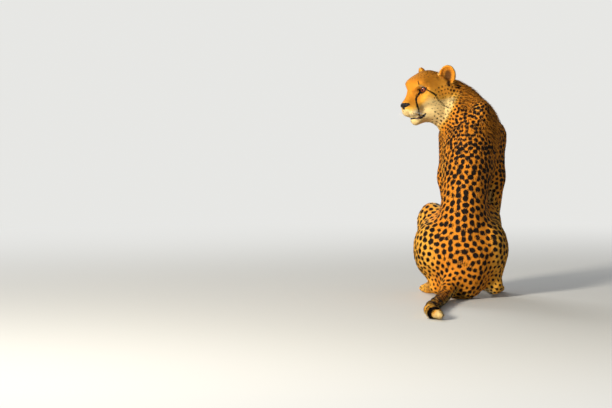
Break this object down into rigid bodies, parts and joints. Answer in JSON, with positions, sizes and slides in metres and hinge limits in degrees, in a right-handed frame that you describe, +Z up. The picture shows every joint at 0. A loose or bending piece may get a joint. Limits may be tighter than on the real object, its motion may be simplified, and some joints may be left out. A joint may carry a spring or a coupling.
{
  "type": "cheetah",
  "caption": "Life-size young cheetah sitting upright on its haunches, forelegs straight, tail laid out behind, looking back over its left shoulder.",
  "frame": {"origin": "on the floor under the middle of the rump, on the flat that the animal sits on", "axes": "+Z up, +Y the way the hips face, +X the animal's right"},
  "size_m": [0.4099, 1.1553, 0.8581],
  "materials": {
    "coat": "short golden fur with solid black-brown spots",
    "pale_coat": "longer cream fur of chin and throat",
    "nose_leather": "damp black leather",
    "eye": "wet, orange-amber with a round pupil"
  },
  "bodies": {
    "root": {"head": "coat", "jaw": "pale_coat", "nose": "nose_leather", "eye_left": "eye", "eye_right": "eye", "ear_left": "coat", "ear_right": "coat", "neck": "coat", "trunk": "coat", "foreleg_left": "coat", "foreleg_right": "coat", "hindleg_left": "coat", "hindleg_right": "coat", "tail_base": "coat", "tail_middle": "coat", "tail_tip": "coat"}
  },
  "joints": []
}
